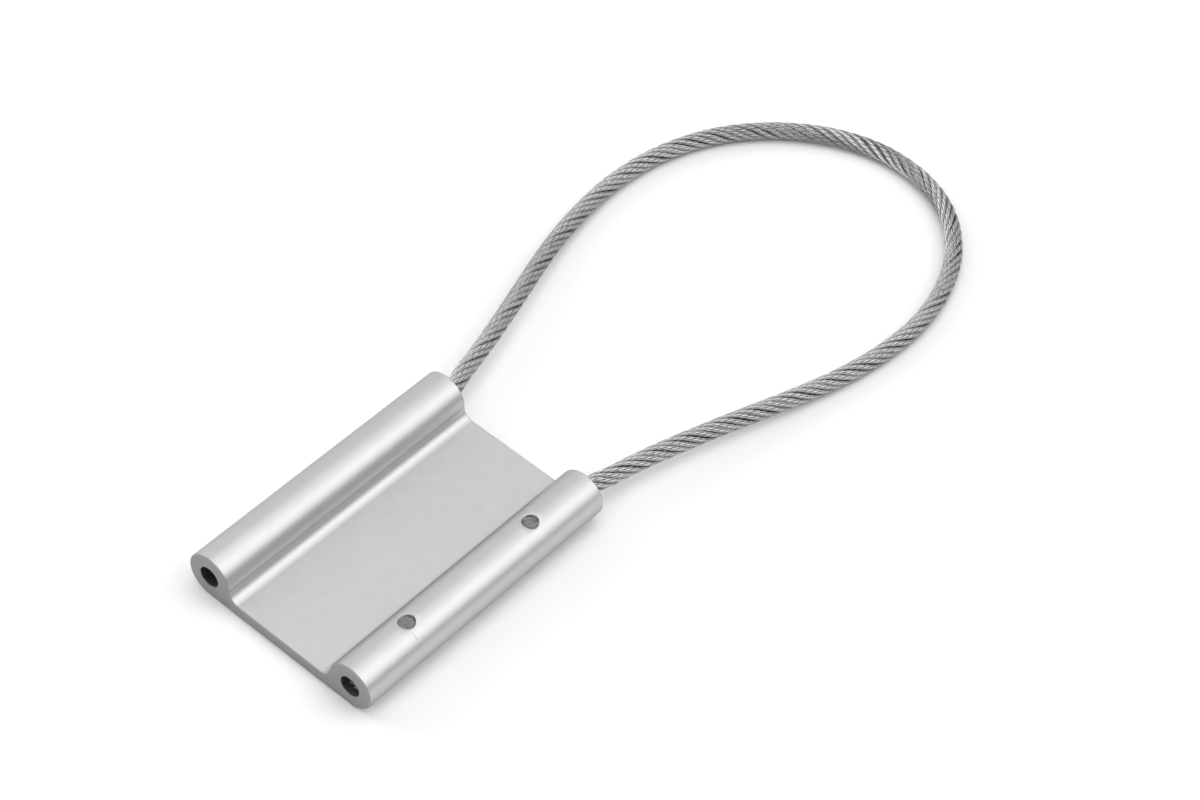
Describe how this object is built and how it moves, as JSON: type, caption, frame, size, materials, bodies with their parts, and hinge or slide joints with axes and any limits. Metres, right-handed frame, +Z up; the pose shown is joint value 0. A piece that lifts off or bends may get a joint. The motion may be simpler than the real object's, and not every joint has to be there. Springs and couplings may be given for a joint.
{
  "type": "cable seal",
  "caption": "Pull-tight cable seal: bored aluminium barrels on a flat web, with a wire rope loop crimped in one barrel and held by a one-way wedge lock in the other.",
  "frame": {"origin": "middle of the body's flat underside", "axes": "+X from the lock barrel to the fixed barrel, +Y from the plain front faces to the faces that the rope loop leaves, +Z up from the underside"},
  "size_m": [0.0504, 0.1262, 0.0068],
  "materials": {
    "satin_aluminium": "satin, finely etched",
    "galvanised_rope": "galvanised wire rope",
    "hardened_steel": "hardened, oiled",
    "spring_steel": "bright drawn"
  },
  "bodies": {
    "body": {"seal_body": "satin_aluminium", "cable_loop": "galvanised_rope", "cable_fixed_end": "galvanised_rope", "taper_sleeve": "hardened_steel", "lock_spring": "spring_steel"},
    "tail": {"cable_tail": "galvanised_rope"},
    "follower": {"jaw_follower": "spring_steel"},
    "jaw_1": {"lock_jaw_1": "hardened_steel"},
    "jaw_2": {"lock_jaw_2": "hardened_steel"},
    "jaw_3": {"lock_jaw_3": "hardened_steel"}
  },
  "joints": [
    {"name": "tail_slide", "type": "slide", "parent": "body", "child": "tail", "axis": [0, -1, 0], "range_m": [0, 0.012]},
    {"name": "follower_slide", "type": "slide", "parent": "body", "child": "follower", "axis": [0, -1, 0], "range_m": [0, 0.001], "stiffness_N_per_m": 300, "springref_m": -0.002, "deforming": ["lock_spring"]},
    {"name": "jaw_1_slide", "type": "slide", "parent": "body", "child": "jaw_1", "axis": [0, -0.9925, 0.1219], "range_m": [0, 0.00101]},
    {"name": "jaw_2_slide", "type": "slide", "parent": "body", "child": "jaw_2", "axis": [-0.1055, -0.9925, -0.0609], "range_m": [0, 0.00101]},
    {"name": "jaw_3_slide", "type": "slide", "parent": "body", "child": "jaw_3", "axis": [0.1055, -0.9925, -0.0609], "range_m": [0, 0.00101]}
  ],
  "couplings": [
    {"joint": "jaw_1_slide", "follows": "follower_slide", "ratio": 1.0075},
    {"joint": "jaw_2_slide", "follows": "follower_slide", "ratio": 1.0075},
    {"joint": "jaw_3_slide", "follows": "follower_slide", "ratio": 1.0075}
  ]
}
